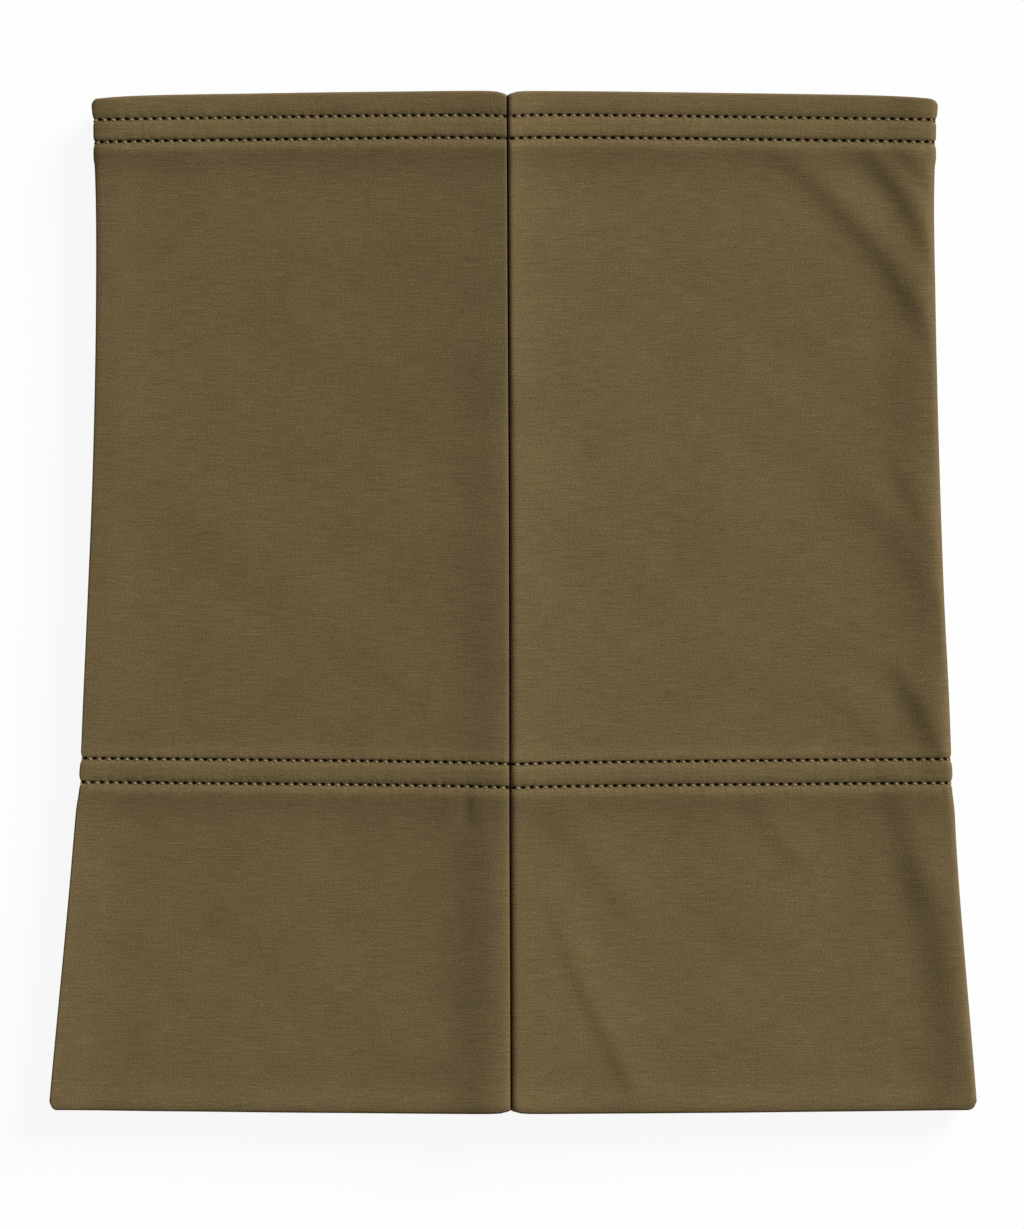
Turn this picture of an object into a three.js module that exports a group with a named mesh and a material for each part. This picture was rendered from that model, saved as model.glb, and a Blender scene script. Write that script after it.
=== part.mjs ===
// Neck gaiter: an open tube of brushed stretch cloth, lying flat with its seam uppermost.
// Millimetres. +X is across the tube, +Y up its length towards the hem, +Z away from the surface it lies on.
// The origin is on that surface, under the middle of the tube.
//
// Each sewn piece is a wall bent round the flat tube, from one lip of the centre seam to the other. A wall's surface
// has two parameters: a column, which runs round the tube, and a row of its profile, which runs along the outer face,
// over a folded edge or a cut one, and back along the inner face.
import * as THREE from "three";

// Driving dimensions.
const PLY = 1.6; // one thickness of the cloth
const DOUBLE = 3; // the cloth folded on itself, pressed by its stitching
const HALF_LENGTH = 140.7; // from the middle to the hem's edge, and to the band's edge
const FOLD_HEIGHT = 3.6; // the side folds' widest point above the surface, and the radius of their half round
const ARCH_POWER = 2.6; // how soon the upper wall's low arch levels off, away from the side folds

// The flat tube's outline: how far the left and right folds lie from the centre line, and the upper wall's height.
const OUTLINE = [
  { y: -HALF_LENGTH, left: 128.8, right: 129, crown: 14.8 },
  { y: -124.3, left: 127.3, right: 127.7, crown: 15 },
  { y: -96.5, left: 124.7, right: 125.4, crown: 15.1 },
  { y: -68.8, left: 122.2, right: 123.3, crown: 15.2 },
  { y: -47, left: 120.4, right: 122, crown: 15.3 },
  { y: -27.2, left: 119.4, right: 121.2, crown: 15.5 },
  { y: 0.6, left: 118.1, right: 119.8, crown: 15.6 },
  { y: 28.3, left: 116.9, right: 118.8, crown: 15.6 },
  { y: 56.1, left: 116.1, right: 118, crown: 15.5 },
  { y: 83.8, left: 115.7, right: 117.4, crown: 15.4 },
  { y: 117.1, left: 115.9, right: 117.1, crown: 15.1 },
  { y: HALF_LENGTH, left: 117, right: 118, crown: 14.6 },
];

// The twin rows of stitching, and where the pieces part, at the bottom of the row that holds each join.
const HEM_ROWS = { outer: 133.9, inner: 127.65 };
const BAND_ROWS = { outer: -43.8, inner: -50.2 };
const JOIN_GAP = 0.3;
const ROW_DEPTH = 0.7; // how far a row of stitching pulls the outer face in
const ROW_REACH = 1.1;
const ROW_SHOULDER = 0.8; // the rows of the mesh on either side of a row of stitching

// The extra plies under the stitching raise the outer face, and fall away over a stretch of single cloth.
const PLIES = [
  { from: 117.5, full: 124.5, to: HALF_LENGTH, end: HALF_LENGTH + 1, height: 0.8 },
  { from: -33, full: -41, to: -53, end: -60, height: -0.9 },
];

// The centre seam: where it runs, how the cloth dips and rounds into it, and how deep its turned-in edges hang.
const SEAM_PATH = [
  { y: -HALF_LENGTH, x: -0.1 },
  { y: -70, x: -0.4 },
  { y: -27, x: -0.5 },
  { y: 28, x: -0.6 },
  { y: 84, x: -1.1 },
  { y: HALF_LENGTH, x: -1.4 },
];
const SEAM_GAP = 0.5;
const LIP_RADIUS = 1.6;
const TURNED_IN = 3.5;
const DIP_RIGHT = { depth: 2.6, reach: 12 }; // the right panel climbs away from the seam in one long slope
const DIP_LEFT = { depth: 2.1, reach: 8.5, near: 5, from: 2.7 }; // the left panel is lowest a little beside the seam
const NOTCH = { depth: 0.85, reach: 1.8 }; // how far the seam draws both edges in
const BAND_DIP = { depth: 0.8, reach: 22 }; // and the band's stitching
const HEM_BOW = 0.8; // the hem's edge is this much lower at its corners
const BAND_BOW = 0.5; // and the band's stitching is this much higher at its sides

// Folds in the upper wall, by the line where the shaded flank is steepest: from one end to the other, bowed sideways,
// with the widths of the shaded flank to the line's right and the lit flank to its left. A hollow has equal flanks.
const FOLDS = [
  { x: 68, y: 120, toX: 112, toY: 73, bow: 3.4, shaded: 4.2, lit: 8, height: 3.2 },
  { x: 92, y: 122, toX: 114, toY: 93, bow: 2, shaded: 3.6, lit: 6, height: 2.2 },
  { x: 98, y: 38, toX: 114, toY: 12, bow: 0.6, shaded: 4, lit: 5.5, height: 1.1 },
  { x: 92, y: 18, toX: 112, toY: -3, bow: 1, shaded: 4.5, lit: 7, height: 1.3 },
  { x: 103, y: -20, toX: 115, toY: -39, bow: 0, shaded: 3.4, lit: 5, height: 1.8 },
  { x: 10, y: -88, toX: 35, toY: -136, bow: -1, shaded: 2.6, lit: 6, height: 1 },
  { x: 104, y: -50, toX: 122, toY: -118, bow: 0, shaded: 6.5, lit: 6.5, height: -1.3 },
];

const gaussian = (distance, reach) => Math.exp(-((distance / reach) ** 2));
const decay = (distance, reach) => Math.exp(-distance / reach);
const smooth = THREE.MathUtils.smoothstep;

// A smooth curve through the named columns of a table whose rows stand at rising y.
function through(rows, ...columns) {
  const values = rows.flatMap((row) => columns.map((column) => row[column]));
  const curve = new THREE.CubicInterpolant(rows.map((row) => row.y), values, columns.length);
  return (y) => Array.from(curve.evaluate(THREE.MathUtils.clamp(y, rows[0].y, rows.at(-1).y)));
}
const outlineAt = through(OUTLINE, "left", "right", "crown");
const seamAt = through(SEAM_PATH, "x");

// How far a stitched row sinks the outer face at this height up the tube.
function stitchedIn(y) {
  const rows = [HEM_ROWS.outer, HEM_ROWS.inner, BAND_ROWS.outer, BAND_ROWS.inner];
  return ROW_DEPTH * Math.max(...rows.map((row) => gaussian(y - row, ROW_REACH)));
}

// How far the plies under the stitching raise the upper wall. A negative height tells a table row that runs downwards.
function plies(y) {
  return PLIES.reduce((sum, { from, full, to, end, height }) => {
    const way = Math.sign(height);
    const rise = smooth(y * way, from * way, full * way);
    return sum + Math.abs(height) * rise * (1 - smooth(y * way, to * way, end * way));
  }, 0);
}

// A fold's rise at a point: a ridge with two different flanks, or a valley, along a bowed line that fades at its ends.
function fold(x, y, { x: fromX, y: fromY, toX, toY, bow, shaded, lit, height }) {
  const length = Math.hypot(toX - fromX, toY - fromY);
  const [alongX, alongY] = [(toX - fromX) / length, (toY - fromY) / length];
  const share = ((x - fromX) * alongX + (y - fromY) * alongY) / length;
  const across = (y - fromY) * alongX - (x - fromX) * alongY - 4 * bow * share * (1 - share);
  const beyond = shaded === lit ? across : across - 0.7 * shaded;
  const fades = smooth(share, -0.1, 0.3) * (1 - smooth(share, 0.8, 1.15));
  return height * gaussian(beyond, beyond < 0 ? shaded : lit) * fades;
}

// The seam's broad dip, on the panel to its left or right.
function dip(distance, side) {
  if (side > 0) return DIP_RIGHT.depth * decay(distance, DIP_RIGHT.reach);
  const beyond = distance - DIP_LEFT.from;
  return DIP_LEFT.depth * gaussian(beyond, beyond < 0 ? DIP_LEFT.near : DIP_LEFT.reach);
}

// The lip's quarter round, at a distance from the cloth's turned edge.
function lip(distance) {
  const inside = Math.max(0, LIP_RADIUS - distance);
  return LIP_RADIUS - Math.sqrt(LIP_RADIUS ** 2 - inside ** 2);
}

// Columns round the tube: close together at the seam, then spread over the upper wall and closing up again at the side
// fold, whose upper and lower halves have columns at even angles, and last the flat underside.
const BY_THE_SEAM = [0, 0.35, 0.9, LIP_RADIUS, LIP_RADIUS + 0.15, 4.5, 9];
const UPPER_COLUMNS = 12;
const ROLL_COLUMNS = 4;
const CORNER_COLUMNS = 3;
const UNDER_COLUMNS = 8;

const shares = (count) => Array.from({ length: count }, (_, i) => (i + 1) / count);

// The upper wall's point at a distance from its lip: a quarter round at the side fold, then a low arch with its folds.
function upperPoint(y, side, lipX, reach, crown, distance) {
  const x = lipX + side * distance;
  const edge = Math.max(0, reach - Math.abs(x));
  const roll = 1 - Math.min(1, edge / FOLD_HEIGHT);
  const leftToGo = 1 - Math.max(0, (edge - FOLD_HEIGHT) / (reach - FOLD_HEIGHT));
  const climb = (crown - 2 * FOLD_HEIGHT) * (1 - leftToGo ** ARCH_POWER);
  const level = Math.sqrt(1 - (1 - Math.min(1, edge / 12)) ** 2);
  const folds = FOLDS.reduce((sum, row) => sum + fold(x, y, row), 0);
  const relief = (folds + plies(y)) * level - dip(distance, side);
  return { x, z: FOLD_HEIGHT * (1 + Math.sqrt(1 - roll ** 2)) + climb + relief, distance, bend: x / reach };
}

// The section at one height up the tube, as points from the seam's right lip, round underneath, to its left lip.
// distance is how far a point of the upper wall is from its lip, and bend is where it lies between seam and fold.
function section(y) {
  const [left, right, crown] = outlineAt(y);
  const [seam] = seamAt(y);
  const half = (side) => {
    const reach = side > 0 ? right : left;
    const lipX = seam + (side * SEAM_GAP) / 2;
    const top = reach - side * lipX - FOLD_HEIGHT;
    const last = BY_THE_SEAM.at(-1);
    const spread = shares(UPPER_COLUMNS).map((share) => last + (top - last) * Math.sin((Math.PI / 2) * share));
    const roll = shares(ROLL_COLUMNS).map((share) => top + FOLD_HEIGHT * Math.sin((Math.PI / 2) * share));
    const upper = [...BY_THE_SEAM, ...spread, ...roll].map((distance) => {
      return upperPoint(y, side, lipX, reach, crown, distance);
    });
    const corner = shares(CORNER_COLUMNS).map((share) => {
      const angle = (Math.PI / 2) * share;
      const x = side * (reach - FOLD_HEIGHT * (1 - Math.cos(angle)));
      return { x, z: FOLD_HEIGHT * (1 - Math.sin(angle)), distance: Infinity, bend: x / reach };
    });
    return [...upper, ...corner];
  };
  const under = shares(UNDER_COLUMNS).slice(0, -1).map((share) => {
    const x = THREE.MathUtils.lerp(right - FOLD_HEIGHT, FOLD_HEIGHT - left, share);
    return { x, z: 0, distance: Infinity, bend: x / right };
  });
  return [...half(1), ...under, ...half(-1).reverse()];
}

// Where each column's outward normal points, across the section. Beside the lips it stands straight up.
function normals(points) {
  return points.map(({ distance }, i) => {
    if (distance <= LIP_RADIUS + 0.2) return { x: 0, z: 1 };
    const [before, after] = [points[i - 1], points[i + 1]];
    const [dx, dz] = [after.x - before.x, after.z - before.z];
    const length = Math.hypot(dx, dz);
    return { x: -dz / length, z: dx / length };
  });
}

// How far up or down a point moves with the bowed edges, the seam's notches and the drawn-in stitching.
function warp(y, { distance, bend }) {
  const nearHem = smooth(y, 60, HALF_LENGTH);
  const nearBand = gaussian(y - BAND_ROWS.outer, 30);
  const hemEdge = smooth(y, 136, HALF_LENGTH);
  const bandEdge = smooth(-y, 136, HALF_LENGTH);
  const notch = NOTCH.depth * decay(distance, NOTCH.reach) * (hemEdge - bandEdge);
  const bandDip = BAND_DIP.depth * decay(distance, BAND_DIP.reach) * nearBand;
  return bend ** 2 * (BAND_BOW * nearBand - HEM_BOW * nearHem) - notch - bandDip;
}

// Triangles that close a wall's end at the seam. They join the profile's two sides, from its first row to its far edge.
function closedEnd(profile) {
  const between = (a, b) => Math.hypot(profile[a].y - profile[b].y, profile[a].inset - profile[b].inset);
  const triangles = [];
  for (let a = 0, b = profile.length - 1; b - a > 1; ) {
    const first = between(a + 1, b) < between(a, b - 1);
    triangles.push(first ? [a, a + 1, b] : [a, b - 1, b]);
    if (first) a += 1;
    else b -= 1;
  }
  return triangles;
}

// A wall round the tube. profile is its cut along the tube, a closed loop of rows: y, how far under the outer face
// (inset), and how thick the wall is there. hang lets the turned-in edges hang below the inner face at the seam.
function wall(name, profile, thickness, hang, material) {
  const position = [];
  const loops = profile.map(({ y, inset }) => {
    const points = section(y);
    const outward = normals(points);
    return points.map((point, i) => {
      const share = 1 - inset / thickness;
      const flange = point.distance <= LIP_RADIUS ? hang * (1 - share) : 0;
      const sink = inset + (stitchedIn(y) + lip(point.distance)) * share + flange;
      position.push(point.x - outward[i].x * sink, y + warp(y, point), point.z - outward[i].z * sink);
      return position.length / 3 - 1;
    });
  });
  const index = [];
  const columns = loops[0].length;
  loops.forEach((loop, row) => {
    const next = loops[(row + 1) % loops.length];
    for (let i = 0; i + 1 < columns; i++) {
      index.push(loop[i], loop[i + 1], next[i], next[i], loop[i + 1], next[i + 1]);
    }
  });
  for (const [a, b, c] of closedEnd(profile)) {
    index.push(loops[a][0], loops[b][0], loops[c][0]);
    index.push(loops[c][columns - 1], loops[b][columns - 1], loops[a][columns - 1]);
  }
  const geometry = new THREE.BufferGeometry();
  geometry.setAttribute("position", new THREE.Float32BufferAttribute(position, 3));
  geometry.setIndex(index);
  geometry.computeVertexNormals();
  const mesh = new THREE.Mesh(geometry, material);
  mesh.name = name;
  return mesh;
}

// Rows of a profile from one height to another, a step of at most `step` apart, both ends included.
function rows(from, to, step, inset) {
  const count = Math.max(1, Math.round(Math.abs(to - from) / step));
  return Array.from({ length: count + 1 }, (_, i) => ({ y: THREE.MathUtils.lerp(from, to, i / count), inset }));
}

// A folded edge: a half round as thick as the doubled cloth. way is 1 for the hem and -1 for the band.
function foldedEdge(way) {
  const radius = DOUBLE / 2;
  return [-60, -30, 0, 30, 60].map((degrees) => {
    const angle = THREE.MathUtils.degToRad(degrees);
    const y = way * (HALF_LENGTH - radius * (1 - Math.cos(angle)));
    return { y, inset: radius * (1 + Math.sin(angle)) };
  });
}

const shoulder = (row, inset) => [row + ROW_SHOULDER, row, row - ROW_SHOULDER].map((y) => ({ y, inset }));

function topHem(material) {
  const start = HEM_ROWS.inner + JOIN_GAP / 2;
  const shoulderOfEdge = HALF_LENGTH - DOUBLE / 2;
  const profile = [
    ...rows(start, start + ROW_SHOULDER, ROW_SHOULDER, 0),
    { y: (HEM_ROWS.outer + HEM_ROWS.inner) / 2, inset: 0 },
    ...shoulder(HEM_ROWS.outer, 0).reverse(),
    ...rows(HEM_ROWS.outer + 2.6, shoulderOfEdge, 3, 0),
    ...foldedEdge(1),
    ...rows(shoulderOfEdge, start, 4, DOUBLE),
  ];
  return wall("top_hem", profile, DOUBLE, 0, material);
}

function body(material) {
  const [top, bottom] = [HEM_ROWS.inner - JOIN_GAP / 2, BAND_ROWS.outer + JOIN_GAP / 2];
  const face = (inset, step) => [
    { y: bottom, inset },
    { y: bottom + ROW_SHOULDER, inset },
    ...rows(bottom + 2.5, top - 5, step, inset),
    { y: top - 2, inset },
    { y: top - ROW_SHOULDER, inset },
    { y: top, inset },
  ];
  return wall("body", [...face(0, 8), ...face(PLY, 16).reverse()], PLY, TURNED_IN, material);
}

function lowerBand(material) {
  const top = BAND_ROWS.outer - JOIN_GAP / 2;
  const shoulderOfEdge = DOUBLE / 2 - HALF_LENGTH;
  const profile = [
    ...rows(top, shoulderOfEdge, 16, DOUBLE),
    ...foldedEdge(-1).reverse(),
    ...rows(shoulderOfEdge, BAND_ROWS.inner - 4, 9, 0),
    { y: BAND_ROWS.inner - 2, inset: 0 },
    ...shoulder(BAND_ROWS.inner, 0).reverse(),
    { y: (BAND_ROWS.outer + BAND_ROWS.inner) / 2, inset: 0 },
    { y: top - ROW_SHOULDER, inset: 0 },
    { y: top, inset: 0 },
  ];
  return wall("lower_band", profile, DOUBLE, 0, material);
}

const cloth = new THREE.MeshStandardMaterial({ name: "brushed stretch cloth", color: 0x66563b, roughness: 0.92, metalness: 0 });

const gaiter = new THREE.Group();
gaiter.add(topHem(cloth), body(cloth), lowerBand(cloth));

export default gaiter;
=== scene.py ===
"""A neck gaiter of brushed stretch cloth, lying flat on a pale floor with its centre seam uppermost.

The file is laid out as a Blender add-on and is run as a script. Each sewn piece is a wall of cloth bent
round the flat tube, from one lip of the centre seam to the other. Its surface has two parameters: a
column, which runs round the tube, and a row of its profile, which runs along the outer face, over a fold
or a cut edge, and back along the inner face. Shapes are worked out in millimetres and go into the meshes
in metres.
"""

import bpy
import numpy as np
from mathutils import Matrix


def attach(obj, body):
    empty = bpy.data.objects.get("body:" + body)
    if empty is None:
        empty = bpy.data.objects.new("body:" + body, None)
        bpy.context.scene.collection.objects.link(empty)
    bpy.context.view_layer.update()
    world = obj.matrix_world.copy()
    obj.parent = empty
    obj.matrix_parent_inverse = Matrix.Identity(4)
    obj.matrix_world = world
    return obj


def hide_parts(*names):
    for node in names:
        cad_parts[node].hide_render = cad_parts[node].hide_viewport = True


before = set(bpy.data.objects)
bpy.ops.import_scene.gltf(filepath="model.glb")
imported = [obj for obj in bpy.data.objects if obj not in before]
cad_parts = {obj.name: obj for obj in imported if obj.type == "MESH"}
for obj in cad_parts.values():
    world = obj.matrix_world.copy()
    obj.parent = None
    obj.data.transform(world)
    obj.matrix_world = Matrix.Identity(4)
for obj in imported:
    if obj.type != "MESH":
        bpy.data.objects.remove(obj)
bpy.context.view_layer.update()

bl_info = {
    "name": "Neck gaiter",
    "version": (1, 0, 0),
    "blender": (4, 2, 0),
    "location": "3D View > Sidebar > Gaiter",
    "description": "Makes a flat-laid tube of brushed stretch cloth with its hems, seam and stitching",
    "category": "Object",
}

MM = 0.001

# The flat tube's outline in millimetres: y, how far out the left and right folds lie, and the height
# along the seam.
HALF_LENGTH = 140.7
OUTLINE = np.array(
    [
        (-140.7, 128.28, 128.7, 13.6),
        (-124.3, 126.78, 127.4, 13.7),
        (-96.5, 124.18, 125.1, 13.8),
        (-68.8, 121.68, 123.0, 13.9),
        (-47.0, 119.88, 121.92, 14.0),
        (-27.2, 118.88, 121.04, 14.1),
        (0.6, 117.58, 119.58, 14.2),
        (28.3, 116.38, 118.53, 14.2),
        (56.1, 115.58, 117.7, 14.2),
        (83.8, 115.18, 117.1, 14.1),
        (117.1, 115.38, 116.8, 13.9),
        (140.7, 116.48, 117.85, 13.5),
    ]
)

# The side folds' section.
FOLD_TOP = 10.2  # their top above the floor
WIDEST = 7.0  # their widest point above the floor
UNDERCUT = 6.0  # how far in their lower rounding reaches
FOLD_REACH = (0.8, 2.7)  # how far in the upper rounding of the left and right folds reaches
FOLD_EDGE = 3.0  # how far in from the outline each fold keeps its own height
BEAD = ((0.7, 8.0), (1.5, 9.0))  # how far each fold stands above the wall beside it, and over what width
FULL_RELIEF = 12.0  # how far in from the outline the cloth's unevenness shows in full

# The centre seam: where it runs, as y and x, and its section.
SEAM_PATH = np.array(
    [
        (-140.7, -0.42),
        (-100.0, -0.53),
        (-70.0, -0.68),
        (-27.0, -0.74),
        (28.0, -0.84),
        (56.0, -1.0),
        (84.0, -1.18),
        (110.0, -1.32),
        (140.7, -1.48),
    ]
)
SEAM_GAP = 0.2  # from the seam's middle to each of its lips
RIDGE = 2.0  # how much of the height along the seam is left to its ridge
TURNED_IN_WIDTH = 1.95  # how far from a lip the seam's turned-in edges reach
HEM_HANG = 1.5  # how deep those edges hang inside the two hems
FAR = 1e3  # a distance at which the seam shapes nothing

# The two twin rows of stitching, upper and lower row of each, and the valley that each row pulls into
# the cloth: how much of it closes soon on its upper side, over what distance, how soon its lower side
# closes, and how slowly the rest of its upper side does.
HEM_ROWS = (133.97, 127.75)
BAND_ROWS = (-43.71, -50.22)
ALL_ROWS = HEM_ROWS + BAND_ROWS
UPPER_SHARE = (0.6, 0.55, 0.35, 0.8)
UPPER_REACH = (1.5, 0.6, 0.42, 1.5)
LOWER_REACH = 1.7
SLOW_REACH = 30.0
ROW_WIDTH = 0.25  # how wide the valley's rounded bottom is
PUCKER_REACH = 2.8  # how far from a row the cloth puckers
GROOVE_SHADE_REACH = 0.6  # how far from a row the painted shade of its groove reaches
HOLE_PLACE = 0.47  # where in each stitch its needle hole is, as a share of the stitch
HOLE_LENGTH = 0.24  # half the hole's length, as a share of the stitch
HOLE_WIDTH = 0.43  # half the hole's width
# The nearly black painted shade inside each needle hole.
HOLE_SHADE_COLOUR = (0.003, 0.0015, 0.0, 1.0)
THREAD_SHOWN = 1.05  # how long the thread is that shows at each stitch
THREAD_BELOW = 0.15  # how far below its row's line it lies
THREAD_LIFT = 0.12  # how far its middle lies above the cloth
THREAD_DIVE = 0.35  # how much lower its ends lie

# The hems.
PLY_GAP = 0.4  # between a hem's two plies
FLATTENED = 0.5  # how far a hem's fold reaches along the tube, as a share of its radius
RAW_EDGE = 1.2  # how far past a hem's inmost row its raw edge lies
PLY_END = 2.2  # how far under the lower row of stitching the wall begins to step down
STEP_FALL, LONG_FALL = 4.6, 13.0  # the reach of that step's steep part and of its long one

# Where a lower point has to lie further out to look straight from above: the height at which nothing
# moves, and how far the view stands above that.
CREST = 15.0
VIEW_FROM = 990.0

# How far apart the surfaces' points lie.
ROUND_STEP = 1.3  # round the tube, on the upper wall
THREAD_STEP = 0.6  # the same, for the line that the thread follows
HEM_STEP, LONG_STEP = 0.9, 1.5  # along the top hem and along the other pieces
TIGHT_STEP = 0.22  # along the tube, right beside a row of stitching
TIGHT_REACH = 3.5  # how far from a row the points are closer together
BACK_STEP = 5.0  # along a hem's turned-in ply
BESIDE_SEAM = 12.0  # how far from the seam the columns lie at set distances
TO_FOLD = 102.0  # about how far it is from there to the side fold
FOLD_COLUMNS = (10, 6)  # columns on a side fold's upper and lower halves
UNDERSIDE = 49  # columns on the underside

# The inner faces carry the cloth's pattern from further along, clear of the needle holes.
HEM_INSIDE, BODY_INSIDE = 200.0, 400.0

# Soft folds in the upper wall, each by the line where its shaded flank is steepest: start x and y, end x
# and y, how far that line bows sideways, how wide the shaded and the lit flanks are, and the height.
SOFT_FOLDS = (
    (71.5, 123, 114.8, 73, 4.2, 4.2, 6.5, 1.0),
    (94.0, 126, 116.2, 93, 2.8, 3.6, 5.0, 0.95),
    (104.5, 126, 116.0, 114, 0.8, 2.4, 4.0, 0.45),
    (103, 42, 117.8, 11, 0.3, 3.6, 10.0, 0.62),
    (92, 31, 116.5, 0, 1.0, 6.0, 6.0, 0.6),
    (103.5, -16, 118.5, -44, 0.6, 3.6, 12.0, 0.8),
    (81, -21, 100.5, -39, 0.6, 3.6, 7.0, 0.35),
    (101.5, -46, 111.5, -82, 0.3, 5.0, 6.0, 0.55),
    (102.5, -50, 122.0, -126, 1.2, 5.6, 6.0, 0.55),
    (9.5, -84, 33.5, -137, -1.0, 2.4, 6.0, 0.48),
    (5, -54, 33, -87, 0.0, 4.2, 9.0, 0.46),
    (62, -52, 79, -74, 0.0, 4.2, 8.0, 0.42),
)

# Hollows that run down the tube: start x and y, end x and y, reach and depth.
HOLLOWS = (
    (113, 12, 112, -22, 6.0, 0.3),
    (-12.8, -51, -12.6, -62, 1.4, 0.25),
)

# The stage.
FLOOR_REACH = 3000.0  # from the middle to each side of the floor
LAMP_POWER = 5.83
LAMP_WIDTH = 30  # how wide the soft lamp looks from the cloth, in degrees
LAMP_TURNS = (63, 0, 135)  # its turns about x, y and z in degrees, so that it shines from the upper right
WORLD_LIGHT = 0.2  # the light from all round
SENSOR = 36.0  # the camera's sensor
VIEW_SPREAD = 0.34105  # the view's height for each metre of distance
VIEW_MIDDLE = (-0.0001, -0.0033)  # the camera's x and y in metres


# Shapes


def smooth(value, low, high):
    """Rises from 0 at low to 1 at high: three times the square of the share less twice its cube."""
    share = np.clip((value - low) / (high - low), 0, 1)
    return share * share * (3 - 2 * share)


def bell(distance, reach):
    """A bell: e to the power of minus the square of distance over reach."""
    return np.exp(-((distance / reach) ** 2))


def fall(distance, reach):
    """One up to no distance, then e to the power of minus distance over reach, itself to the power 1.4.

    It falls most steeply about two fifths of the reach away."""
    return np.exp(-((np.maximum(distance, 0) / reach) ** 1.4))


def through(table, y):
    """The table's columns at heights y, by a cubic between each two rows.

    The slope at a row comes from the rows on both sides of it."""
    at, values = table[:, 0], table[:, 1:]
    slope = np.gradient(values, at, axis=0)
    y = np.clip(y, at[0], at[-1])
    i = np.clip(np.searchsorted(at, y) - 1, 0, len(at) - 2)
    step = (at[i + 1] - at[i])[..., None]
    t = (y - at[i])[..., None] / step
    ends = values[i] * (1 + 2 * t) * (1 - t) ** 2 + values[i + 1] * t * t * (3 - 2 * t)
    slopes = slope[i] * t * (1 - t) ** 2 - slope[i + 1] * t * t * (1 - t)
    return np.moveaxis(ends + step * slopes, -1, 0)


def stitched_in(y):
    """How far the stitching pulls the outer face in: a valley along each row, from exponentials.

    Below the row the valley closes over LOWER_REACH. Above it a share closes over the row's own reach
    and the rest over SLOW_REACH, so the cloth above a row lies lower than the cloth below it."""
    depth = bpy.context.scene.gaiter_stitching.row_depth / MM
    total = 0.0
    for row, share, reach in zip(ALL_ROWS, UPPER_SHARE, UPPER_REACH):
        away = np.hypot(y - row, ROW_WIDTH) - ROW_WIDTH
        above = share * np.exp(-away / reach) + (1 - share) * np.exp(-away / SLOW_REACH)
        total = total + depth * np.where(y > row, above, np.exp(-away / LOWER_REACH))
    return total


def plies(y):
    """How far the plies underneath raise the upper wall: steps at the twin rows, worn round.

    The wall steps down from the hem to the body, a little up at the band's upper row, and down again
    below its lower row. Each step down adds a steep fall and a long one. A bell raises the lower edge,
    and an exponential lowers the top edge."""
    below_hem = HEM_ROWS[1] - PLY_END - y
    below_band = BAND_ROWS[1] - PLY_END - y
    hem = 1.15 * fall(below_hem, STEP_FALL) + 0.4 * fall(below_hem, LONG_FALL)
    band = 0.25 * (1 - smooth(y, BAND_ROWS[0], BAND_ROWS[0] + 5))
    band_end = 0.95 * (1 - fall(below_band, STEP_FALL)) + 0.3 * (1 - fall(below_band, LONG_FALL))
    lower_edge = 0.5 * bell(y + 139, 4)
    top_edge = 0.42 * np.exp((y - HALF_LENGTH) / 2.8)
    return hem + band - band_end + lower_edge - top_edge


def line_places(x, y, row, bow=0.0):
    """Where points lie by a bowed line: how far to its left, and their share of the way along.

    The bow is a parabola, bow high in the middle."""
    from_x, from_y, to_x, to_y = row[:4]
    length = np.hypot(to_x - from_x, to_y - from_y)
    along_x, along_y = (to_x - from_x) / length, (to_y - from_y) / length
    share = ((x - from_x) * along_x + (y - from_y) * along_y) / length
    across = (y - from_y) * along_x - (x - from_x) * along_y - 4 * bow * share * (1 - share)
    return across, share


def fades(share):
    """From 0 to 1 and back, smoothly, over a line's two ends."""
    return smooth(share, -0.2, 0.4) * (1 - smooth(share, 0.85, 1.15))


def soft_fold(x, y, row):
    """A fold's rise: half a bell on the shaded flank and half another on the lit one.

    The crest lies beside the row's line by the distance at which a bell is steepest."""
    bow, shaded, lit, height = row[4:]
    across, share = line_places(x, y, row, bow)
    beyond = across - 0.7 * shaded
    return height * bell(beyond, np.where(beyond < 0, shaded, lit)) * fades(share)


def hollow(x, y, row):
    """A hollow's fall: a bell across its line."""
    reach, depth = row[4:]
    across, share = line_places(x, y, row)
    return depth * bell(across, reach) * fades(share)


def ripples(x, y):
    """The cloth's slight unevenness: a sum of long low sine waves with settled directions and phases.

    Their lengths grow by equal ratios, and each wave is a thousandth of its length high."""
    chance = np.random.default_rng(7)
    total = 0.0
    for length in np.geomspace(16, 75, 14):
        angle, phase = chance.uniform(0, np.pi), chance.uniform(0, 2 * np.pi)
        wave = 2 * np.pi * (x * np.cos(angle) + y * np.sin(angle)) / length
        total = total + 0.001 * length * np.sin(wave + phase)
    return total


def low_and_high(y):
    """How much a height counts as low down and as high up for the seam's section, each from 0 to 1."""
    return 1 - smooth(y, -75, -40), smooth(y, 45, 75)


def seam_ridge(distance, side, y):
    """How far each panel rises towards the seam.

    On the right it is an exponential, rounded off beside the seam, and high up a short one is added. On
    the left it is level beside the seam, for longer low down, and falls away from there as half a bell,
    and a long exponential is added."""
    low_down, high_up = low_and_high(y)
    right = (2.6 - 0.7 * low_down) * np.exp(-np.hypot(distance, 2) / 12)
    right = right + 0.7 * high_up * np.exp(-distance / 3.5)
    crest = 1 + 2 * low_down
    left = (1.5 - 1.1 * high_up + 0.5 * low_down) * bell(np.maximum(distance - crest, 0), 9.4)
    left = left + (0.4 + 1.9 * high_up) * np.exp(-distance / 30)
    return np.where(side > 0, right, left)


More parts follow.
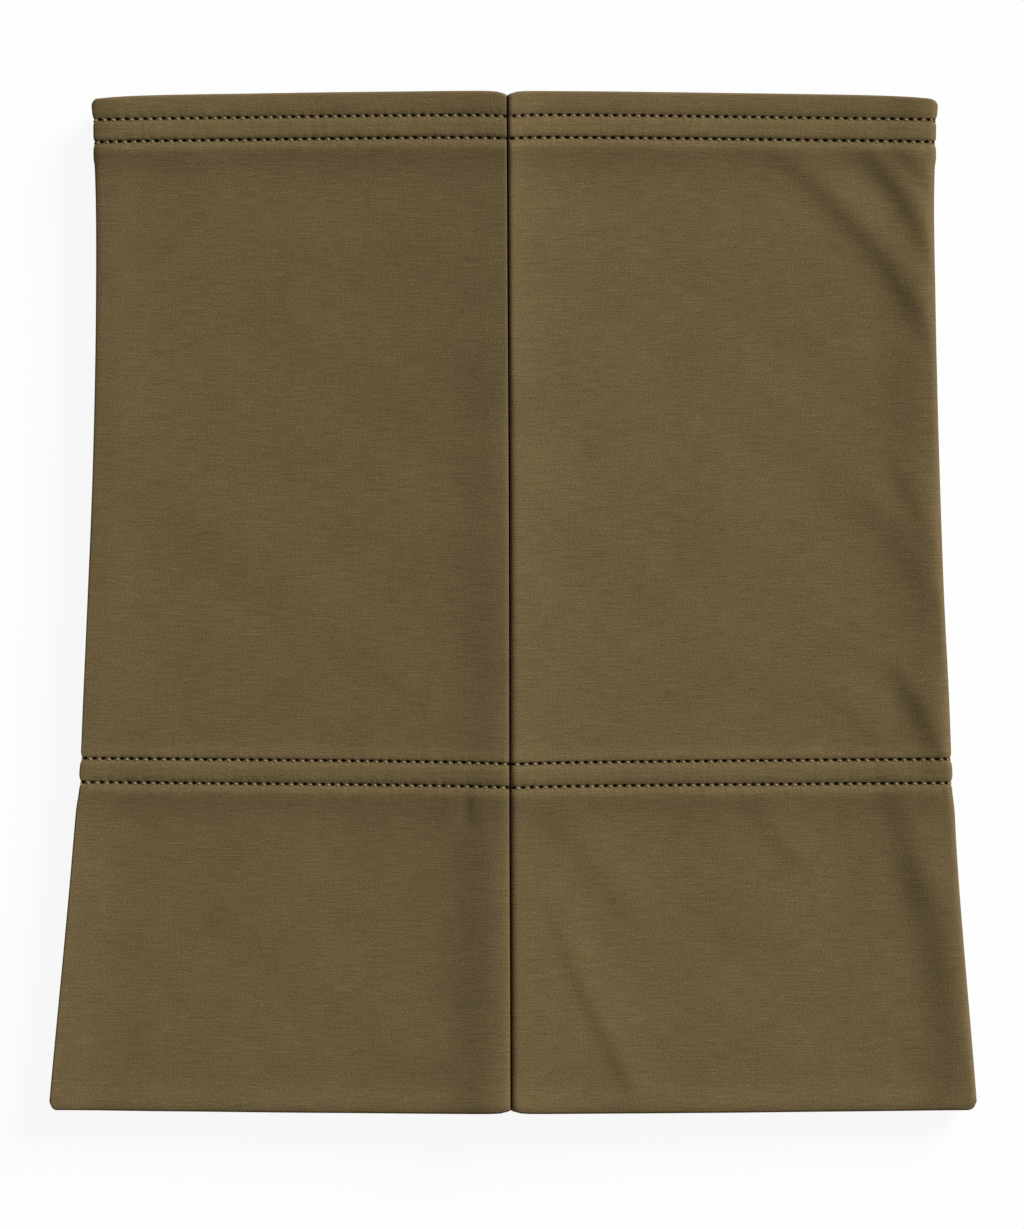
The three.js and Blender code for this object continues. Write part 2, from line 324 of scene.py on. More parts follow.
def lip(distance, side, y):
    """The quarter of an ellipse by which each panel turns down into the seam.

    It is wider and deeper low down on the left, and narrower high up."""
    low_down, high_up = low_and_high(y)
    reach = np.where(side > 0, 2.0 - 0.6 * high_up, 1.6 + low_down - 0.6 * high_up)
    depth = np.where(side > 0, 1.2, 0.38 + 0.3 * low_down - 0.15 * high_up)
    inside = np.clip(1 - distance / reach, 0, 1)
    return depth * (1 - np.sqrt(1 - inside**2))


def warp(y, base, distance, bend, side):
    """How far a point moves along the tube, so that rows and edges are bowed and notched at the seam.

    bend is the share of the way from the middle out to the side fold. The hem bows down and the lower
    edge up by powers of it, and the band's rows rise by the share itself. An exponential beside the seam
    draws both edges in, and others dip the hem's rows and the band's. Where the upper wall is lower than
    the crest, a row or an edge reaches further out, so that it stays straight from above."""
    near_hem = smooth(y, 60, HALF_LENGTH)
    near_band = bell(y - BAND_ROWS[0], 30)
    near_edge = smooth(-y, 75, HALF_LENGTH)
    hem_edge = smooth(y, 136, HALF_LENGTH)
    band_edge = smooth(-y, 136, HALF_LENGTH)
    notch = (1.05 - 0.15 * band_edge) * np.exp(-distance / 1.8)
    hem_bow = 1.45 * bend**1.3 * near_hem + 0.8 * hem_edge * bend**12
    hem_dip = 0.5 * np.exp(-distance / 5.5) * near_hem * (1 - hem_edge)
    band_rise = np.where(side > 0, bend - 0.36, 1.1 * bend - 0.25) - 0.5 * np.exp(-distance / 14)
    reaching = y * (CREST - base) / VIEW_FROM
    edge_rise = 1.2 * bend**1.35 * near_edge - 0.16 * band_edge + 0.06 * hem_edge * (side < 0)
    return reaching + near_band * band_rise + edge_rise - hem_bow - hem_dip - notch * (hem_edge - band_edge)


def columns(step):
    """Columns round the tube, from the seam's right lip to its left: side, zone and share of that zone.

    Zone 0 is beside the seam, where the share is a distance in millimetres. Zone 1 runs on to the side
    fold in columns about a step apart, zones 2 and 3 are the fold's upper and lower halves, and zone 4 is
    the flat underside."""
    lip_places = (0, 0.08, 0.2, 0.4, 0.65, 0.95, 1.3, 1.65, TURNED_IN_WIDTH, 2.4)
    beside = np.r_[lip_places, np.arange(3, BESIDE_SEAM + 0.1)]
    counts = (int(TO_FOLD / step), *FOLD_COLUMNS)
    onwards, roll, corner = (np.arange(1, count + 1) / count for count in counts)
    zones = enumerate((beside, onwards, roll, corner))
    upper = np.concatenate([np.c_[np.full(len(part), zone), part] for zone, part in zones])
    right = np.c_[np.ones(len(upper)), upper]
    share = np.arange(1, UNDERSIDE + 1) / (UNDERSIDE + 1)
    under = np.c_[np.zeros(UNDERSIDE), np.full(UNDERSIDE, 4), share]
    left = right[::-1] * (-1, 1, 1)
    return np.r_[right, under, left].T


def reaches(y):
    """How far out the left and right folds lie, and the height along the seam, at heights y.

    The tube's corners are rounded off, a bell nips it in at each row of stitching and beside the rows,
    and the hem stands out a little."""
    left, right, crown = (part[:, None] for part in through(OUTLINE, y))
    y = y[:, None]
    corner = np.where(y < 0, 1.3, 0.8) * smooth(np.abs(y), 138, HALF_LENGTH) ** 2
    at_rows = 0.35 * sum(bell(y - row, 1.0) for row in ALL_ROWS)
    beside_rows = 0.32 * bell(y + 53, 3) + 0.16 * bell(y - 130.9, 2)
    hem_out = 0.25 * smooth(y, 121, 123.5)
    inwards = corner + at_rows + beside_rows - hem_out
    return left - inwards, right - inwards, crown


def skin(y, table):
    """The tube's outer face at heights y, which are its rows, and at a table's columns.

    Beside a side fold the upper wall dips by the fold's bead less a bell, and it climbs evenly to the
    seam, where it ends in the seam's ridge. The fold's upper half falls to its widest point by a quarter
    of a squarish ellipse, whose two shares to the power of three add up to one, and its lower half is a
    quarter of an ellipse. It gives x, y and z, the wall's height without its relief, the distance from
    the seam's lip, the share of the way out to the fold, how much of the unevenness shows, and the side."""
    side, zone, share = (part[None, :] for part in table)
    left, right, crown = reaches(y)
    seam = through(SEAM_PATH, y)[0][:, None]
    y = y[:, None]
    reach = np.where(side > 0, right, left)
    lip_x = seam + side * SEAM_GAP
    span = reach - side * lip_x
    angle = np.pi / 2 * share
    rounding = np.where(side > 0, FOLD_REACH[1], FOLD_REACH[0])
    distance = np.where(zone == 0, share, BESIDE_SEAM + (span - rounding - BESIDE_SEAM) * share)
    distance = np.where(zone == 2, span - rounding * (1 - np.sin(angle)), distance)
    x = lip_x + side * distance
    x = np.where(zone == 3, side * (reach - UNDERCUT * (1 - np.cos(angle))), x)
    x = np.where(zone == 4, (right - UNDERCUT) * (1 - share) - (left - UNDERCUT) * share, x)
    edge = np.maximum(reach - np.abs(x), 0)
    roll = 1 - np.clip(edge / rounding, 0, 1)
    bead = np.where(side > 0, BEAD[1][0], BEAD[0][0])
    bead_width = np.where(side > 0, BEAD[1][1], BEAD[0][1])
    dip = bead * (1 - bell(np.maximum(edge - FOLD_EDGE, 0), bead_width))
    climb = (crown - RIDGE - FOLD_TOP + bead) * np.clip((edge - FOLD_EDGE) / (reach - FOLD_EDGE), 0, 1)
    base = FOLD_TOP - dip + climb + seam_ridge(distance, side, y) * (zone < 2)
    level = np.sqrt(1 - (1 - np.clip(edge / FULL_RELIEF, 0, 1)) ** 2)
    folds = sum(soft_fold(x, y, row) for row in SOFT_FOLDS) - sum(hollow(x, y, row) for row in HOLLOWS)
    relief = folds * np.clip(edge / FOLD_EDGE, 0, 1) + (ripples(x, y) + plies(y)) * level
    z = base + relief - (FOLD_TOP - WIDEST) * (1 - (1 - roll**3) ** (1 / 3))
    z = np.where(zone == 3, WIDEST * (1 - np.sin(angle)), z)
    z = np.where(zone == 4, 0, z)
    distance = np.where(zone > 2, FAR, distance)
    bend = np.clip(np.abs(x) / reach, 0, 1)
    level = np.where(zone > 2, 0.0, level)
    side = np.broadcast_to(side, x.shape)
    return x, np.broadcast_to(y, x.shape), z, base, distance, bend, level, side


def outward(x, z, distance, table):
    """The outward direction across the section, as its x and z.

    It is straight up beside the seam, turns smoothly to a right angle to the way round from 2 to 6 mm
    away, and turns evenly round the side folds."""
    _, zone, share = (part[None, :] for part in table)
    angle = np.pi / 2 * (share + (zone == 3))
    dx, dz = np.gradient(x, axis=1), np.gradient(z, axis=1)
    size = np.hypot(dx, dz)
    turn = smooth(distance, 2, 6)
    nx, nz = -dz / size * turn, dx / size * turn + (1 - turn)
    at_fold = (zone == 2) | (zone == 3)
    nx = np.where(at_fold, np.sign(x) * np.sin(angle), nx)
    nz = np.where(at_fold, np.cos(angle), nz)
    size = np.hypot(nx, nz)
    return nx / size, nz / size


def along(x, z):
    """How far round the tube each point lies from the middle of the underside, by adding up the steps."""
    steps = np.hypot(np.diff(x, axis=1), np.diff(z, axis=1))
    total = np.concatenate([np.zeros((len(x), 1)), np.cumsum(steps, axis=1)], axis=1)
    middle = np.argmin(np.where(z > 0, np.inf, np.abs(x)), axis=1)
    return total - total[np.arange(len(x)), middle][:, None]


def wall_points(y, inset, thickness, table, hang=0.0):
    """Points of a wall, and how far round they lie, for a profile of heights y and insets.

    Each point is the outer face's, moved inwards by its inset, by the groove of the stitching, which is
    three tenths as deep on the underside, and by the seam's lip. Both fade out evenly through the
    thickness. hang lets the turned-in edges hang below the inner face, where they lean together."""
    x, height, z, base, distance, bend, level, side = skin(y, table)
    nx, nz = outward(x, z, distance, table)
    share = 1 - np.clip(inset / thickness, 0, 1)[:, None]
    groove = stitched_in(height) * (0.3 + 0.7 * level)
    hanging = hang * (1 - share) * (distance <= TURNED_IN_WIDTH)
    lean = -SEAM_GAP * side * (1 - share) * np.clip(1 - distance / TURNED_IN_WIDTH, 0, 1)
    sink = inset[:, None] + (groove + lip(distance, side, height)) * share + hanging
    moved = height + warp(height, base, distance, bend, side)
    points = np.stack([x + lean - nx * sink, moved, z - nz * sink], axis=-1)
    return points, along(x, z)


# Meshes


def put_mesh(name, points, faces, material, flat=None, uv=None):
    """A mesh object at the origin from points in millimetres and four-sided faces.

    flat marks the faces left unsmoothed, and uv is each point's place on the cloth in millimetres."""
    mesh = bpy.data.meshes.new(name)
    mesh.from_pydata((points * MM).tolist(), [], faces.tolist())
    smoothed = np.ones(len(faces), bool) if flat is None else ~flat
    mesh.polygons.foreach_set("use_smooth", smoothed)
    if uv is not None:
        layer = mesh.uv_layers.new(name="cloth")
        layer.data.foreach_set("uv", (uv[faces.ravel()] * MM).ravel())
    mesh.materials.append(material)
    mesh.validate()
    mesh.update()
    piece = bpy.data.objects.new(name, mesh)
    bpy.context.scene.collection.objects.link(piece)
    return piece


def wall(name, profile, thickness, material, hang):
    """A closed wall from a profile, whose rows are height, inset, place along the cloth and a cut's mark.

    The faces join each row to the next, round to the first, and a strip between the profile's two halves
    closes the wall at each lip of the seam. A strip that follows a cut's mark is a cut edge, left flat.
    The faces point outwards whether the profile sets off up or down the tube."""
    y, inset, place, cut = profile.T
    points, round_tube = wall_points(y, inset, thickness, columns(ROUND_STEP), hang)
    rows, count = points.shape[:2]
    index = np.arange(rows * count).reshape(rows, count)
    after = np.roll(index, -1, axis=0)
    strips = np.stack([index[:, :-1], index[:, 1:], after[:, 1:], after[:, :-1]], axis=-1)
    ends = closed_ends(rows)
    right_end, left_end = index[ends, 0], index[ends, -1][:, ::-1]
    faces = np.concatenate([strips.reshape(-1, 4), right_end, left_end])
    faces = faces if y[1] > y[0] else faces[:, ::-1]
    flat = np.r_[np.repeat(cut > 0, count - 1), np.ones(2 * len(ends), bool)]
    uv = np.stack([round_tube, np.broadcast_to(place[:, None], round_tube.shape)], axis=-1)
    return put_mesh(name, points.reshape(-1, 3), faces, material, flat, uv.reshape(-1, 2))


def closed_ends(rows):
    """Faces across a profile whose second half runs back along its first: row k with row k from its end."""
    k = np.arange(rows // 2 - 1)
    return np.stack([k, k + 1, rows - 2 - k, rows - 1 - k], axis=-1)


def heights(low, high, step, rows):
    """Heights from low to high about a step apart, closer together beside the rows of stitching.

    How crowded they are is one over the step, raised by a bell round each row, and from each height to
    the next the running sum of that grows by the same amount, about one."""
    fine = np.linspace(low, high, 4000)
    near = np.max([bell(fine - row, TIGHT_REACH) for row in rows], axis=0)
    crowd = 1 / step + near * (1 / TIGHT_STEP - 1 / step)
    total = np.r_[0, np.cumsum((crowd[1:] + crowd[:-1]) / 2 * np.diff(fine))]
    return np.interp(np.linspace(0, total[-1], int(round(total[-1])) + 1), total, fine)


def folded_profile(start, way, raw, ply, step):
    """A hem's profile: its outer ply from start to the fold, round it, and its turned-in ply to raw.

    way is 1 for the top edge and -1 for the lower one. Both plies have two faces, so the profile runs out
    along the outer face and back along the turned-in ply's inner face, and returns between the plies. A
    fold is half a circle, pressed flatter along the tube. The whole is a strip bent double, so its rows
    pair off across one ply for the wall's closed ends."""
    radius = ply + PLY_GAP / 2
    end = HALF_LENGTH - radius * FLATTENED
    out = way * heights(way * start, end, step, way * np.array(ALL_ROWS))
    back = np.linspace(way * end, raw, max(4, int(abs(raw - way * end) / BACK_STEP)))
    bend = np.radians(np.arange(-75, 76, 15))
    run = np.abs(out - out[0])

    def face(gap):
        arc = radius - gap
        outer = np.c_[out, np.full(len(out), gap)]
        fold = np.c_[way * (end + arc * FLATTENED * np.cos(bend)), radius + arc * np.sin(bend)]
        inner = np.c_[back, np.full(len(back), 2 * radius - gap)]
        return np.r_[outer, fold, inner]

    round_fold = run[-1] + ply * (bend + np.pi / 2)
    run_back = run[-1] + np.pi * ply + np.abs(back - back[0])
    place = start + way * np.r_[run, round_fold, run_back]
    first = np.c_[face(0), place, np.zeros(len(place))]
    second = np.c_[face(ply), place + way * HEM_INSIDE, np.zeros(len(place))][::-1]
    first[-1, 3] = 1
    second[-1, 3] = 1
    return np.r_[first, second]


def body_profile(low, high, ply, step):
    """The body's profile: its outer face from low to high and its inner face back, a cut at each end."""
    up = heights(low, high, step, ALL_ROWS)
    outer = np.c_[up, np.zeros(len(up)), up, np.zeros(len(up))]
    inner = np.c_[up, np.full(len(up), ply), up + BODY_INSIDE, np.zeros(len(up))][::-1]
    outer[-1, 3] = 1
    inner[-1, 3] = 1
    return np.r_[outer, inner]


def row_line(row):
    """A stitched row round the tube: how far round, and at each such place the point and outward way.

    It lies on the outer face, where the wall's thickness makes no difference."""
    table = columns(THREAD_STEP)
    y = np.array([row])
    points, place = wall_points(y, np.zeros(1), 1.0, table)
    x, _, z, _, distance, *_ = skin(y, table)
    nx, nz = outward(x, z, distance, table)
    normal = np.stack([nx, np.zeros_like(nx), nz], axis=-1)
    return place[0], points[0], normal[0]


def thread_beads(row, pitch, width, chance):
    """The needle thread's short visible lengths along a row, one a stitch, a little unlike each other.

    Each is a spindle: rings of six points whose radius follows half an ellipse along its length, pressed
    to three quarters of its height, bent into a low parabola so that both ends dive into the cloth, and
    turned a little off the row's line."""
    place, line, normal = row_line(row)
    first, last = np.ceil((place[0] + 1) / pitch), np.floor((place[-1] - 1) / pitch)
    stitch = np.arange(first, last + 1)
    middle = stitch * pitch + chance.normal(0, 0.06, len(stitch))
    length = THREAD_SHOWN * chance.uniform(0.85, 1.15, len(stitch))
    tilt = chance.normal(0.08, 0.09, len(stitch))
    t = np.array([-1, -0.8, -0.45, 0, 0.45, 0.8, 1])[None, :, None]
    turn = np.radians(np.arange(0, 360, 60))[None, None, :]
    reach = length[:, None, None] / 2 * t
    radius = width / 2 * np.sqrt(np.maximum(1 - t**2, 0.02))
    across = radius * np.cos(turn) + reach * tilt[:, None, None] - THREAD_BELOW
    height = 0.75 * radius * np.sin(turn) + THREAD_LIFT - THREAD_DIVE * t**2
    where = middle[:, None, None] + reach
    at = np.stack([np.interp(where, place, line[:, i]) for i in range(3)], axis=-1)
    up = np.stack([np.interp(where, place, normal[:, i]) for i in range(3)], axis=-1)
    points = at + up * height[..., None]
    points[..., 1] += across
    return points


def tubes(name, points, material):
    """One mesh from many rings of six points, stitch by stitch: faces between rings, and two at each end."""
    many, rings, sides = points.shape[:3]
    index = np.arange(many * rings * sides).reshape(many, rings, sides)
    after = np.roll(index, -1, axis=2)
    strips = np.stack([index[:, :-1], after[:, :-1], after[:, 1:], index[:, 1:]], axis=-1).reshape(-1, 4)
    start, end = index[:, 0], index[:, -1]
    caps = [start[:, [3, 2, 1, 0]], start[:, [5, 4, 3, 0]], end[:, [0, 1, 2, 3]], end[:, [0, 3, 4, 5]]]
    return put_mesh(name, points.reshape(-1, 3), np.concatenate([strips, *caps]), material)


# Materials


class Nodes:
    """A short way to add and join a material's shader nodes."""

    def __init__(self, material):
        material.use_nodes = True
        self.tree = material.node_tree
        self.shader = self.tree.nodes["Principled BSDF"]

    def add(self, kind, inputs=(), **settings):
        """A new node with its settings, whose sockets are joined or given values."""
        node = self.tree.nodes.new(kind)
        for key, value in settings.items():
            setattr(node, key, value)
        for socket, value in dict(inputs).items():
            if isinstance(value, bpy.types.NodeSocket):
                self.tree.links.new(value, node.inputs[socket])
            else:
                node.inputs[socket].default_value = value
        return node

    def math(self, operation, a, b=0.0, c=0.0):
        """One sum on numbers or sockets."""
        return self.add("ShaderNodeMath", {0: a, 1: b, 2: c}, operation=operation).outputs[0]

    def noise(self, vector, scale, detail, roughness):
        """Noise with that many waves a metre, from 0 to 1."""
        inputs = {"Vector": vector, "Scale": scale, "Detail": detail, "Roughness": roughness}
        return self.add("ShaderNodeTexNoise", inputs).outputs["Fac"]

    def stretched(self, vector, u, v):
        """Places multiplied by u across and v along."""
        return self.add("ShaderNodeMapping", {"Vector": vector, "Scale": (u, v, 1)}).outputs[0]

    def mix(self, share, a, b, blend="MIX"):
        """A share of the way from colour a to colour b, or to the two blended."""
        node = self.add("ShaderNodeMix", data_type="RGBA", blend_type=blend)
        for socket, value in ((0, share), (6, a), (7, b)):
            if isinstance(value, bpy.types.NodeSocket):
                self.tree.links.new(value, node.inputs[socket])
            else:
                node.inputs[socket].default_value = value
        return node.outputs[2]


def brushed_cloth():
    """Olive-brown brushed stretch cloth: grain, slubs across the tube, slight patches and needle holes.

    The colour is the wanted one times five noises, each scaled so that its middle is one, with painted
    shade along the groove of each row of stitching and nearly black painted shade in the needle holes.
    The surface's height is a weighted sum of grain, slubs, warp ends and the puckers beside the rows, less
    the holes."""
    wanted = bpy.context.scene.gaiter_cloth
    stitching = bpy.context.scene.gaiter_stitching
    material = bpy.data.materials.new("brushed_cloth")
    nodes = Nodes(material)
    place = nodes.add("ShaderNodeUVMap", uv_map="cloth").outputs[0]
    grain = nodes.noise(place, 2200.0, 2.0, 0.7)
    slub = nodes.noise(nodes.stretched(place, 130.0, 2600.0), 1.0, 1.0, 0.5)
    warp_ends = nodes.noise(nodes.stretched(place, 2300.0, 220.0), 1.0, 1.0, 0.5)
    mottle = nodes.noise(place, 260.0, 3.0, 0.6)
    patch = nodes.noise(place, 60.0, 2.0, 0.5)

    shade = nodes.math("MULTIPLY_ADD", grain, 1.5, 0.25)
    for noise, amount in ((slub, 0.5), (warp_ends, 0.12), (mottle, 0.24), (patch, 0.14)):
        shade = nodes.math("MULTIPLY", shade, nodes.math("MULTIPLY_ADD", noise, amount, 1 - amount / 2))
    holes, near_rows, groove_shade = needle_holes(nodes, place, stitching.stitch_length)
    # Painted shade along the groove that each row of stitching pulls into the cloth.
    shade = nodes.math("MULTIPLY", shade, nodes.math("MULTIPLY_ADD", groove_shade, -0.2, 1.0))
    tint = nodes.add("ShaderNodeCombineColor", {0: shade, 1: shade, 2: shade}).outputs[0]
    colour = nodes.mix(1.0, (*wanted.colour, 1.0), tint, "MULTIPLY")
    # Nearly black painted shade in the needle holes; the same mask also dents the surface below.
    colour = nodes.mix(holes, colour, HOLE_SHADE_COLOUR)
    nodes.tree.links.new(colour, nodes.shader.inputs["Base Color"])

    pucker = nodes.noise(nodes.stretched(place, 520.0, 90.0), 1.0, 1.0, 0.5)
    pucker = nodes.math("MULTIPLY", pucker, near_rows)
    height = nodes.math("MULTIPLY_ADD", grain, 0.10, nodes.math("MULTIPLY", slub, 0.06))
    height = nodes.math("MULTIPLY_ADD", warp_ends, 0.04, height)
    height = nodes.math("MULTIPLY_ADD", pucker, 0.35, height)
    height = nodes.math("MULTIPLY_ADD", holes, -0.5, height)
    bump = nodes.add("ShaderNodeBump", {"Strength": 0.8, "Distance": 0.001, "Height": height})
    nodes.tree.links.new(bump.outputs[0], nodes.shader.inputs["Normal"])
    nodes.shader.inputs["Roughness"].default_value = 0.95
    nodes.shader.inputs["Specular IOR Level"].default_value = 0.0
    return material


def needle_holes(nodes, place, pitch):
    """Needle holes beside each stitch's thread, nearness to a stitched row, and the line of painted shade
    along the row's groove.

    Each runs from 0 to 1 and is a share to a power. For nearness and for the line that power is the
    square of the distance over a reach. For a hole it is the square of two such squares' sum, one along
    the row and one across it, which makes a blunt oval."""
    split = nodes.add("ShaderNodeSeparateXYZ", {0: place})
    u, v = split.outputs[0], split.outputs[1]
    apart = [nodes.math("ABSOLUTE", nodes.math("SUBTRACT", v, row * MM)) for row in ALL_ROWS]
    nearest = apart[0]
    for other in apart[1:]:
        nearest = nodes.math("MINIMUM", nearest, other)
    cell = nodes.math("FRACT", nodes.math("DIVIDE", u, pitch))
    sideways = nodes.math("ABSOLUTE", nodes.math("SUBTRACT", cell, HOLE_PLACE))

    def squared(distance, reach):
        return nodes.math("POWER", nodes.math("DIVIDE", distance, reach), 2.0)

    oval = nodes.math("ADD", squared(sideways, HOLE_LENGTH), squared(nearest, HOLE_WIDTH * MM))
    holes = nodes.math("POWER", 0.35, nodes.math("MULTIPLY", oval, oval))
    near_rows = nodes.math("POWER", 0.3, squared(nearest, PUCKER_REACH * MM))
    groove_shade = nodes.math("POWER", 0.3, squared(nearest, GROOVE_SHADE_REACH * MM))
    return holes, near_rows, groove_shade


def sewing_thread():
    """Tan sewing thread: fine diagonal strands from stretched noise, slightly glossier than the cloth."""
    wanted = bpy.context.scene.gaiter_stitching
    material = bpy.data.materials.new("sewing_thread")
    nodes = Nodes(material)
    place = nodes.add("ShaderNodeTexCoord").outputs["Object"]
    turned = nodes.add("ShaderNodeMapping", {"Vector": place, "Rotation": (0, 0, 0.7)}).outputs[0]
    strand = nodes.noise(nodes.stretched(turned, 900.0, 6000.0), 1.0, 1.0, 0.5)
    shade = nodes.math("MULTIPLY_ADD", strand, 0.5, 0.75)
    tint = nodes.add("ShaderNodeCombineColor", {0: shade, 1: shade, 2: shade}).outputs[0]
    colour = nodes.mix(1.0, (*wanted.thread_colour, 1.0), tint, "MULTIPLY")
    nodes.tree.links.new(colour, nodes.shader.inputs["Base Color"])
    bump = nodes.add("ShaderNodeBump", {"Strength": 0.5, "Distance": 0.0002, "Height": strand})
    nodes.tree.links.new(bump.outputs[0], nodes.shader.inputs["Normal"])
    nodes.shader.inputs["Roughness"].default_value = 0.6
    nodes.shader.inputs["Specular IOR Level"].default_value = 0.15
    return material


def material_named(name, make):
    """The finish of that name, made when a piece first asks for it."""
    return bpy.data.materials.get(name) or make()


# Properties


class GaiterCloth(bpy.types.PropertyGroup):
    """The cloth's thickness, seam allowance and colour"""

    ply: bpy.props.FloatProperty(
        name="Ply", description="Thickness of one ply of the cloth", default=0.0013, unit="LENGTH"
    )
    turned_in: bpy.props.FloatProperty(
        name="Seam allowance",
        description="How deep the seam's turned-in edges hang",
        default=0.0035,
        unit="LENGTH",
    )
    colour: bpy.props.FloatVectorProperty(
        name="Cloth",
        description="Base colour of the cloth",
        default=(0.1285, 0.0935, 0.0435),
        size=3,
        subtype="COLOR",
    )


class GaiterStitching(bpy.types.PropertyGroup):
    """The stitches' sizes and the thread's colour"""

    stitch_length: bpy.props.FloatProperty(
        name="Stitch length",
        description="From one needle hole to the next",
        default=0.00255,
        unit="LENGTH",
    )
    thread_width: bpy.props.FloatProperty(
        name="Thread width", description="Width of the visible thread", default=0.00065, unit="LENGTH"
    )
    row_depth: bpy.props.FloatProperty(
        name="Row depth",
        description="How far a row of stitching pulls the cloth in",
        default=0.00092,
        unit="LENGTH",
    )
    thread_colour: bpy.props.FloatVectorProperty(
        name="Thread",
        description="Colour of the sewing thread",
        default=(0.23, 0.185, 0.1),
        size=3,
        subtype="COLOR",
    )


class GaiterStage(bpy.types.PropertyGroup):
    """The camera's height and the floor's colour"""

    camera_height: bpy.props.FloatProperty(
        name="Camera height",
        description="How far the camera stands above the floor",
        default=1.005,
        unit="LENGTH",
    )
    floor_colour: bpy.props.FloatVectorProperty(
        name="Floor",
        description="Colour of the floor",
        default=(0.915, 0.915, 0.915),
        size=3,
        subtype="COLOR",
    )


# Operators


class MakeBody(bpy.types.Operator):
    """Make the tube between the two hems, one ply of cloth thick"""

    bl_idname = "gaiter.body"
    bl_label = "Body"

    def execute(self, context):
        cloth = context.scene.gaiter_cloth
        ply = cloth.ply / MM
        profile = body_profile(BAND_ROWS[0], HEM_ROWS[1], ply, LONG_STEP)
        finish = material_named("brushed_cloth", brushed_cloth)
        piece = wall("body_cloth", profile, ply, finish, cloth.turned_in / MM)
        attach(piece, "root")
        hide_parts("body")
        return {"FINISHED"}


class MakeTopHem(bpy.types.Operator):
    """Make the narrow hem round the upper opening, folded over and turned in"""

    bl_idname = "gaiter.top_hem"
    bl_label = "Top hem"

    def execute(self, context):
        ply = context.scene.gaiter_cloth.ply / MM
        profile = folded_profile(HEM_ROWS[1], 1, HEM_ROWS[1] - RAW_EDGE, ply, HEM_STEP)
        finish = material_named("brushed_cloth", brushed_cloth)
        piece = wall("top_hem_cloth", profile, 2 * ply + PLY_GAP, finish, HEM_HANG)
        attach(piece, "root")
        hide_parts("top_hem")
        return {"FINISHED"}


class MakeLowerBand(bpy.types.Operator):
    """Make the deep band round the lower opening, folded up inside to its stitching"""

    bl_idname = "gaiter.lower_band"
    bl_label = "Lower band"

    def execute(self, context):
        ply = context.scene.gaiter_cloth.ply / MM
        profile = folded_profile(BAND_ROWS[0], -1, BAND_ROWS[0] + RAW_EDGE, ply, LONG_STEP)
        finish = material_named("brushed_cloth", brushed_cloth)
        piece = wall("lower_band_cloth", profile, 2 * ply + PLY_GAP, finish, HEM_HANG)
        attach(piece, "root")
        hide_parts("lower_band")
        return {"FINISHED"}


class MakeStitching(bpy.types.Operator):
    """Make the two twin rows of stitching round the tube"""

    bl_idname = "gaiter.stitching"
    bl_label = "Stitching"

    def execute(self, context):
        wanted = context.scene.gaiter_stitching
        pitch, width = wanted.stitch_length / MM, wanted.thread_width / MM
        finish = material_named("sewing_thread", sewing_thread)
        chance = np.random.default_rng(11)
        for name, rows in (("hem_stitches", HEM_ROWS), ("band_stitches", BAND_ROWS)):
            beads = [thread_beads(row, pitch, width, chance) for row in rows]
            piece = tubes(name, np.concatenate(beads), finish)
            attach(piece, "root")
        return {"FINISHED"}


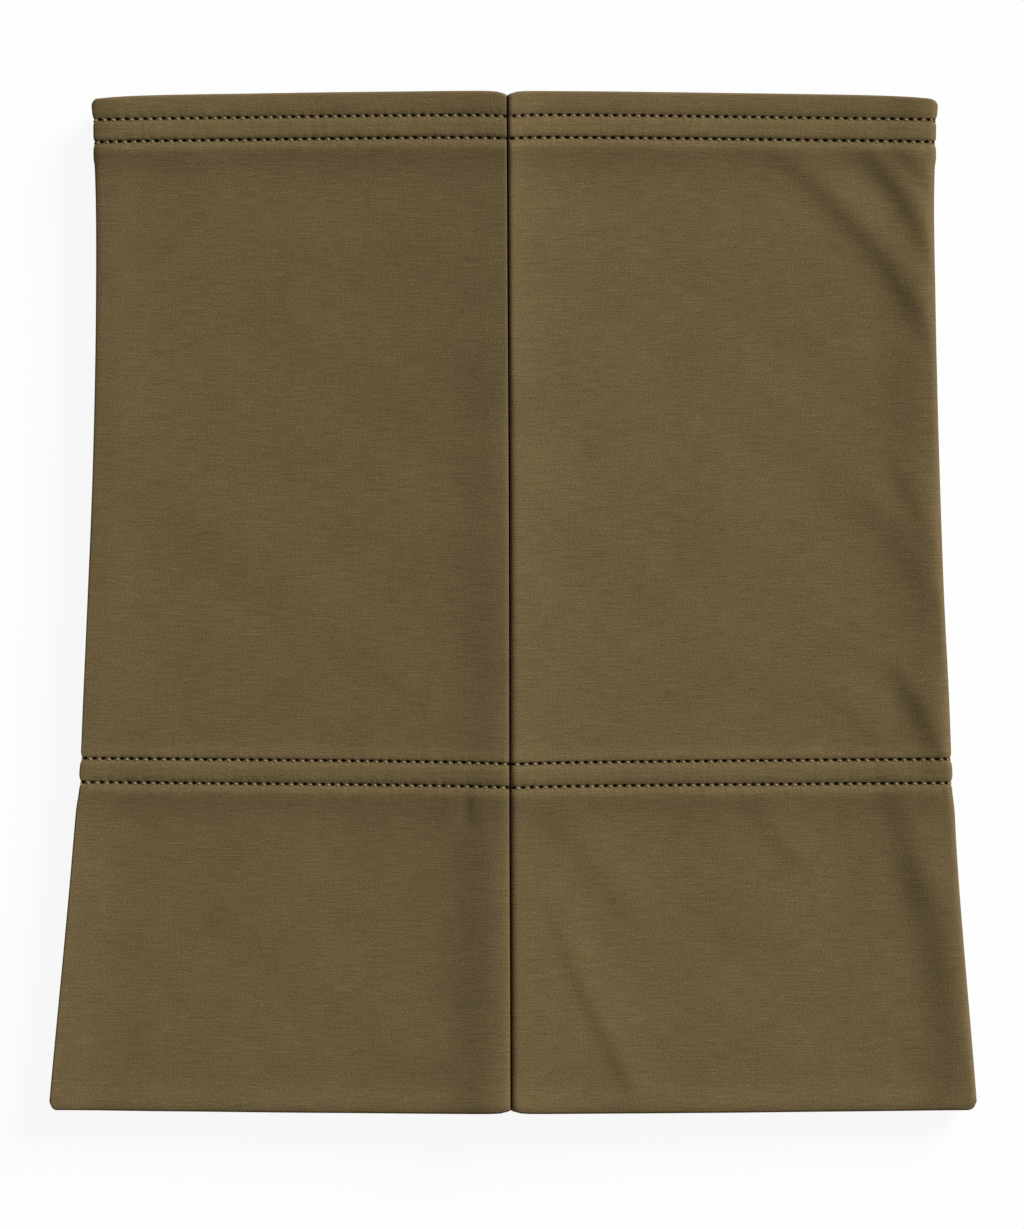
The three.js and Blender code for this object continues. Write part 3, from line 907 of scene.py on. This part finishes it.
class MakeStage(bpy.types.Operator):
    """Make the pale floor, the soft light and the camera straight above"""

    bl_idname = "gaiter.stage"
    bl_label = "Stage"

    def execute(self, context):
        wanted = context.scene.gaiter_stage
        corners = np.array([(-1, -1, 0), (1, -1, 0), (1, 1, 0), (-1, 1, 0)]) * FLOOR_REACH
        finish = bpy.data.materials.new("pale_floor")
        shader = Nodes(finish).shader
        shader.inputs["Base Color"].default_value = (0.05, 0.05, 0.05, 1.0)
        shader.inputs["Emission Color"].default_value = (*wanted.floor_colour, 1.0)
        shader.inputs["Emission Strength"].default_value = 1.0
        shader.inputs["Roughness"].default_value = 0.9
        floor = put_mesh("floor", corners, np.array([[0, 1, 2, 3]]), finish)
        lamp = bpy.data.lights.new("softbox", "SUN")
        lamp.energy = LAMP_POWER
        lamp.angle = np.radians(LAMP_WIDTH)
        softbox = bpy.data.objects.new("softbox", lamp)
        softbox.rotation_euler = np.radians(LAMP_TURNS)
        context.scene.collection.objects.link(softbox)
        world = bpy.data.worlds.new("studio")
        world.use_nodes = True
        background = world.node_tree.nodes["Background"]
        background.inputs["Color"].default_value = (1, 1, 1, 1)
        background.inputs["Strength"].default_value = WORLD_LIGHT
        context.scene.world = world
        context.scene.view_settings.view_transform = "Standard"
        lens = bpy.data.cameras.new("camera")
        lens.lens = SENSOR / VIEW_SPREAD
        lens.sensor_width = SENSOR
        camera = bpy.data.objects.new("camera", lens)
        camera.location = (*VIEW_MIDDLE, wanted.camera_height)
        context.scene.collection.objects.link(camera)
        context.scene.camera = camera
        return {"FINISHED"}


class GaiterPanel(bpy.types.Panel):
    """The gaiter's sizes, colours and operators"""

    bl_idname = "VIEW3D_PT_gaiter"
    bl_label = "Neck gaiter"
    bl_space_type = "VIEW_3D"
    bl_region_type = "UI"
    bl_category = "Gaiter"

    def draw(self, context):
        for name, group in GROUPS.items():
            for key in group.__annotations__:
                self.layout.prop(getattr(context.scene, name), key)
        for maker in MAKERS:
            self.layout.operator(maker.bl_idname)


GROUPS = {"gaiter_cloth": GaiterCloth, "gaiter_stitching": GaiterStitching, "gaiter_stage": GaiterStage}
MAKERS = (MakeBody, MakeTopHem, MakeLowerBand, MakeStitching, MakeStage)


def register():
    """Registers the classes and gives the scene its groups of properties."""
    for item in (*GROUPS.values(), *MAKERS, GaiterPanel):
        bpy.utils.register_class(item)
    for name, group in GROUPS.items():
        setattr(bpy.types.Scene, name, bpy.props.PointerProperty(type=group))


def unregister():
    """Takes back what register did."""
    for name in GROUPS:
        delattr(bpy.types.Scene, name)
    for item in reversed((*GROUPS.values(), *MAKERS, GaiterPanel)):
        bpy.utils.unregister_class(item)


def main():
    """Registers the classes and makes every piece and the stage."""
    register()
    bpy.ops.gaiter.body()
    bpy.ops.gaiter.top_hem()
    bpy.ops.gaiter.lower_band()
    bpy.ops.gaiter.stitching()
    bpy.ops.gaiter.stage()


if __name__ == "__main__":
    main()
